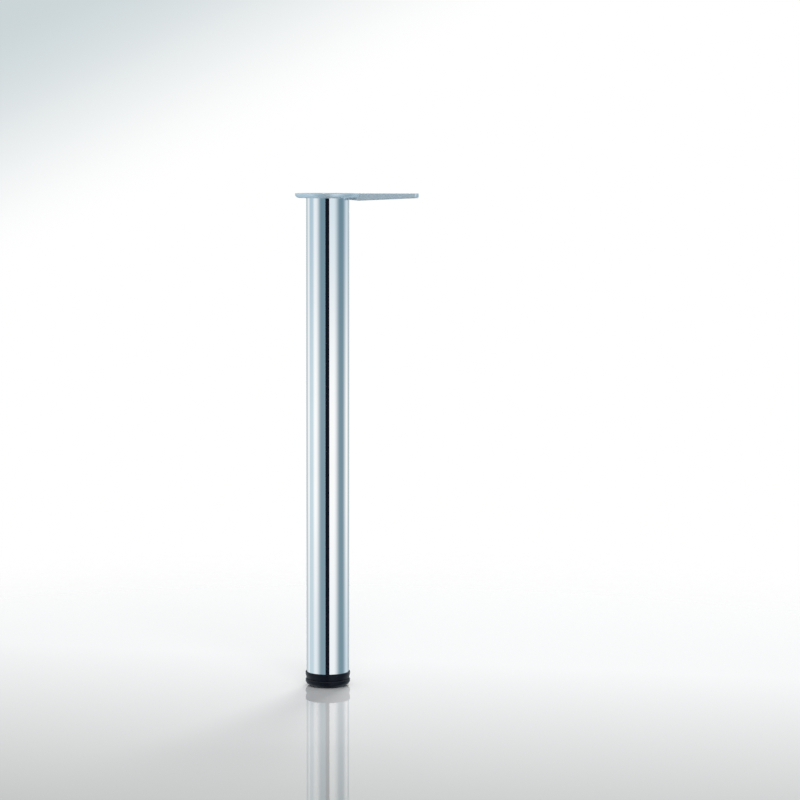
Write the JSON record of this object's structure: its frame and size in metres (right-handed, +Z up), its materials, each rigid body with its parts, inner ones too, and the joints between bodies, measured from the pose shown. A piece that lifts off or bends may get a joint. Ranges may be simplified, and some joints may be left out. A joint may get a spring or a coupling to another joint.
{
  "type": "height adjustable table leg",
  "caption": "Round chrome table leg with a ribbed cast mounting plate and arm at the top, and a screw-in levelling foot at the bottom.",
  "frame": {"origin": "on the floor at the centre of the foot, on the leg's axis, with the foot screwed right in", "axes": "+Z up along the leg's axis to the table top, +X along the plate's arm, +Y to the back of the picture"},
  "size_m": [0.1725, 0.091, 0.695],
  "materials": {
    "plate_silver": "satin silver lacquer on a zinc die casting",
    "tube_chrome": "polished chrome plating",
    "dark_steel": "black oxide steel",
    "zinc_steel": "bright zinc-plated steel",
    "black_plastic": "satin black moulded plastic",
    "glide_plastic": "matt dark grey moulded plastic"
  },
  "bodies": {
    "leg": {"mounting_plate": "plate_silver", "clamp_screw": "dark_steel", "leg_tube": "tube_chrome", "end_collar": "black_plastic", "hex_nut": "zinc_steel"},
    "glide": {"foot_glide": "glide_plastic"},
    "foot": {"foot": "black_plastic", "foot_spindle": "zinc_steel"}
  },
  "joints": [
    {"name": "foot_travel", "type": "slide", "parent": "leg", "child": "glide", "axis": [0, 0, -1], "range_m": [0, 0.02]},
    {"name": "foot_turn", "type": "hinge", "parent": "glide", "child": "foot", "pos_m": [0, 0, 0], "axis": [0, 0, -1], "range_deg": [0, 4800]}
  ],
  "couplings": [
    {"joint": "foot_travel", "follows": "foot_turn", "m_per_rad": 0.00023873}
  ]
}
